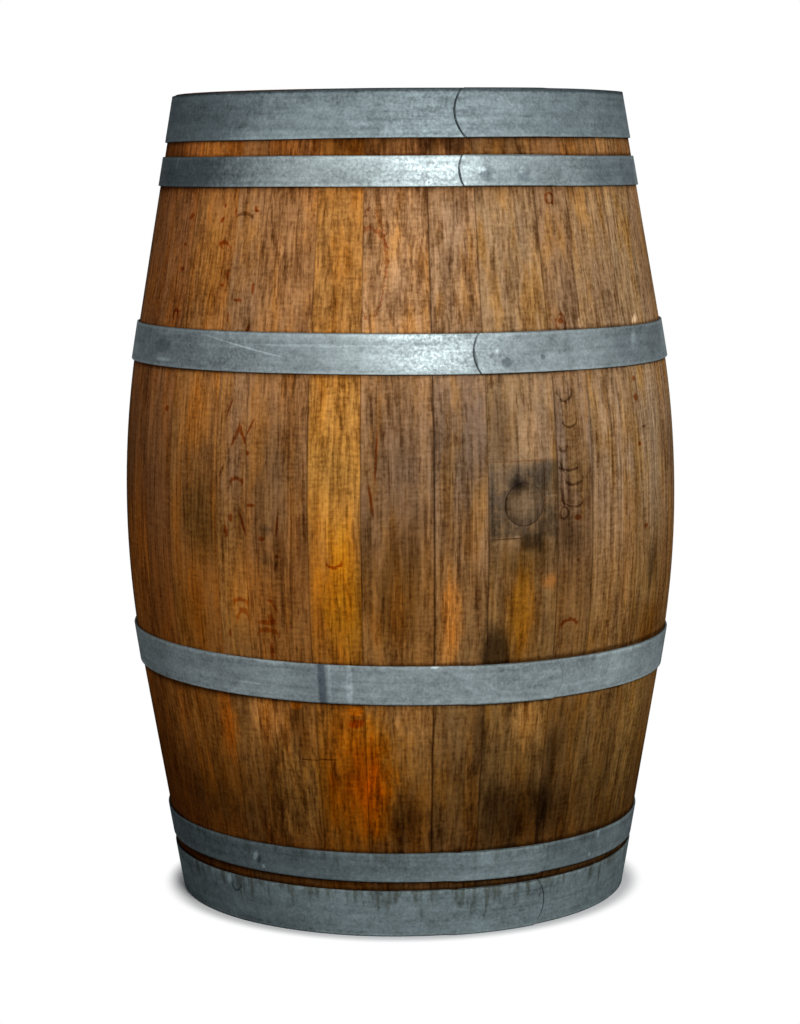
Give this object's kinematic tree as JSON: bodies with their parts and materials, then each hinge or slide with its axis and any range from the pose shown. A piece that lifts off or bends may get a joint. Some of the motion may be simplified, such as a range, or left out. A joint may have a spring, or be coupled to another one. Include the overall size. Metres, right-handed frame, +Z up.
{
  "type": "oak barrel",
  "caption": "Upright bilged oak barrel of radial staves held by lapped and riveted metal hoops, with boarded heads in croze grooves and a pull-out wooden bung.",
  "frame": {"origin": "middle of the barrel's bottom end, on the plane of the stave ends", "axes": "+Z up the barrel's axis, -Y towards the bung"},
  "size_m": [0.6599, 0.6599, 0.95],
  "materials": {
    "stave": "weathered oiled oak with dark stains",
    "head": "planed oak, weathered",
    "dowel": "bare oak",
    "bung": "stained hardwood",
    "hoop": "dull galvanised strip, mottled",
    "rivet": "dull galvanised, hammered low"
  },
  "bodies": {
    "barrel": {"bottom_bilge_hoop": "hoop", "bottom_bilge_hoop_rivets": "rivet", "bottom_head_board_1": "head", "bottom_head_board_2": "head", "bottom_head_board_3": "head", "bottom_head_board_4": "head", "bottom_head_board_5": "head", "bottom_head_board_6": "head", "bottom_head_dowels": "dowel", "bottom_head_hoop": "hoop", "bottom_head_hoop_rivets": "rivet", "bottom_quarter_hoop": "hoop", "bottom_quarter_hoop_rivets": "rivet", "bung_stave": "stave", "stave_01": "stave", "stave_02": "stave", "stave_03": "stave", "stave_04": "stave", "stave_05": "stave", "stave_06": "stave", "stave_07": "stave", "stave_08": "stave", "stave_09": "stave", "stave_10": "stave", "stave_11": "stave", "stave_12": "stave", "stave_13": "stave", "stave_14": "stave", "stave_15": "stave", "stave_16": "stave", "stave_17": "stave", "stave_18": "stave", "stave_19": "stave", "stave_20": "stave", "stave_21": "stave", "stave_22": "stave", "stave_23": "stave", "stave_24": "stave", "stave_25": "stave", "stave_26": "stave", "stave_27": "stave", "top_bilge_hoop": "hoop", "top_bilge_hoop_rivets": "rivet", "top_head_board_1": "head", "top_head_board_2": "head", "top_head_board_3": "head", "top_head_board_4": "head", "top_head_board_5": "head", "top_head_board_6": "head", "top_head_dowels": "dowel", "top_head_hoop": "hoop", "top_head_hoop_rivets": "rivet", "top_quarter_hoop": "hoop", "top_quarter_hoop_rivets": "rivet"},
    "bung": {"bung": "bung"}
  },
  "joints": [
    {"name": "bung_pull", "type": "slide", "parent": "barrel", "child": "bung", "axis": [0, -1, 0], "range_m": [0, 0.08]}
  ]
}
